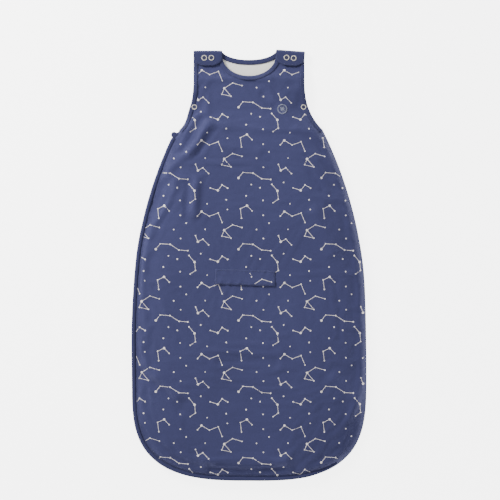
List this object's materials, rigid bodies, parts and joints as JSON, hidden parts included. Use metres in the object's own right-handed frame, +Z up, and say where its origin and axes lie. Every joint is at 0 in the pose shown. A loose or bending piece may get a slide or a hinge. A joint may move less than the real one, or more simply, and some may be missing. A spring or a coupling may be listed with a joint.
{
  "type": "baby sleeping bag",
  "caption": "Sleeveless zip-up baby sleeping bag, lying flat: rounded pouch with snap shoulder tabs, lined neck and armholes, side and hem zip, covered harness slot.",
  "frame": {"origin": "under the middle of the bag's bounding box, on the surface it lies on", "axes": "+Z up out of the front of the bag, +Y towards the head end, +X to the right of a person looking down on the front"},
  "size_m": [0.49, 0.9001, 0.0342],
  "materials": {
    "printed_cloth": "soft knit, printed",
    "plain_cloth": "soft knit",
    "lining_cloth": "soft knit",
    "badge_thread": "satin thread",
    "zip_tape": "woven tape",
    "zip_coil": "moulded",
    "zip_metal": "enamel",
    "snap_ring": "satin enamel",
    "snap_socket": "pressed"
  },
  "bodies": {
    "bag": {"back_outer": "printed_cloth", "back_lining": "lining_cloth", "front_bib_outer": "printed_cloth", "front_bib_lining": "lining_cloth", "closed_side_seam": "plain_cloth", "front_neck_binding": "plain_cloth", "back_neck_binding": "plain_cloth", "right_armhole_binding_front": "plain_cloth", "left_armhole_binding_front": "plain_cloth", "right_armhole_binding_back": "plain_cloth", "left_armhole_binding_back": "plain_cloth", "underarm_snap_rings": "snap_ring", "underarm_snap_sockets": "snap_socket", "underarm_snap_studs": "snap_socket", "left_strap_snap_studs": "snap_socket", "right_strap_snap_studs": "snap_socket", "left_shoulder_fold": "plain_cloth", "right_shoulder_fold": "plain_cloth", "zip_tape_back": "zip_tape", "zip_coil_back": "zip_coil", "zip_tape_bib": "zip_tape", "zip_coil_bib": "zip_coil", "zip_cover_bib": "plain_cloth", "zip_garage": "plain_cloth", "zip_top_stop": "zip_metal", "zip_end_box": "zip_metal", "front_slot_facing": "plain_cloth", "back_slot_facing": "plain_cloth", "chest_badge": "badge_thread"},
    "front_flap": {"front_flap_outer": "printed_cloth", "front_flap_lining": "lining_cloth", "zip_tape_flap": "zip_tape", "zip_coil_flap": "zip_coil", "zip_cover_flap": "plain_cloth"},
    "left_tab": {"left_shoulder_tab": "plain_cloth", "left_tab_snap_rings": "snap_ring", "left_tab_snap_sockets": "snap_socket"},
    "right_tab": {"right_shoulder_tab": "plain_cloth", "right_tab_snap_rings": "snap_ring", "right_tab_snap_sockets": "snap_socket"},
    "zip_slider": {"zip_slider": "zip_metal"},
    "zip_pull": {"zip_pull": "zip_metal"},
    "slot_cover": {"front_slot_cover": "printed_cloth"}
  },
  "joints": [
    {"name": "left_tab_fold", "type": "hinge", "parent": "bag", "child": "left_tab", "pos_m": [-0.086, 0.4438, 0.0069], "axis": [-1, 0, 0], "range_deg": [0, 170], "deforming": ["left_shoulder_fold"]},
    {"name": "right_tab_fold", "type": "hinge", "parent": "bag", "child": "right_tab", "pos_m": [0.086, 0.4438, 0.0069], "axis": [-1, 0, 0], "range_deg": [0, 170], "deforming": ["right_shoulder_fold"]},
    {"name": "zip_run", "type": "hinge", "parent": "bag", "child": "zip_slider", "pos_m": [0.61552, -0.10096, 0.0086], "axis": [0, 0, 1], "range_deg": [0, 9.2]},
    {"name": "pull_swing", "type": "hinge", "parent": "zip_slider", "child": "zip_pull", "pos_m": [-0.1646, 0.25979, 0.0086], "axis": [0, 0, -1], "range_deg": [0, 150]},
    {"name": "panel_fold", "type": "hinge", "parent": "bag", "child": "front_flap", "pos_m": [0, -0.14535, 0.0346], "axis": [-0.6382, 0.7698, 0], "range_deg": [0, 150]},
    {"name": "slot_cover_lift", "type": "hinge", "parent": "bag", "child": "slot_cover", "pos_m": [-0.00744, -0.00901, 0.0346], "axis": [-0.9994, 0.0349, 0], "range_deg": [0, 150]}
  ]
}
